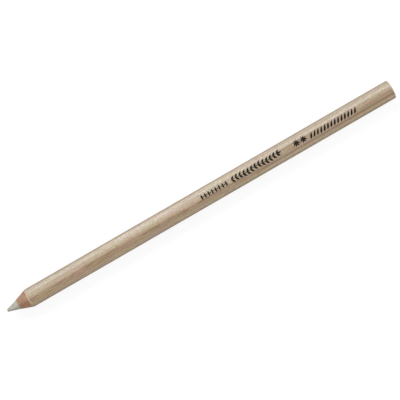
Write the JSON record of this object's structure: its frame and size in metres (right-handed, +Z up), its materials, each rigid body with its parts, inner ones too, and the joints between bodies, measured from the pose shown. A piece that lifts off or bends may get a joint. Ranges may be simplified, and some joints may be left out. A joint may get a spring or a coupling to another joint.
{
  "type": "eraser pencil",
  "caption": "Round wood-cased pencil with a white rubber core for erasing, factory sharpened to a blunt point at one end and cut flat at the other.",
  "frame": {"origin": "on the pencil's axis, at the middle of its length", "axes": "+X along the pencil's axis from the point to the flat end, +Z up and square to the seam between the slats, +Y across the pencil"},
  "size_m": [0.175, 0.0078, 0.0078],
  "materials": {
    "eraser_rubber": "matte",
    "dried_glue": "satin",
    "bare_wood": "matte",
    "lacquered_wood": "satin",
    "stamping_foil": "satin"
  },
  "bodies": {
    "root": {"eraser_core": "eraser_rubber", "core_glue_sleeve": "dried_glue", "upper_slat": "bare_wood", "lower_slat": "bare_wood", "front_seam_glue": "dried_glue", "rear_seam_glue": "dried_glue", "lacquer_coat": "lacquered_wood"}
  },
  "joints": []
}
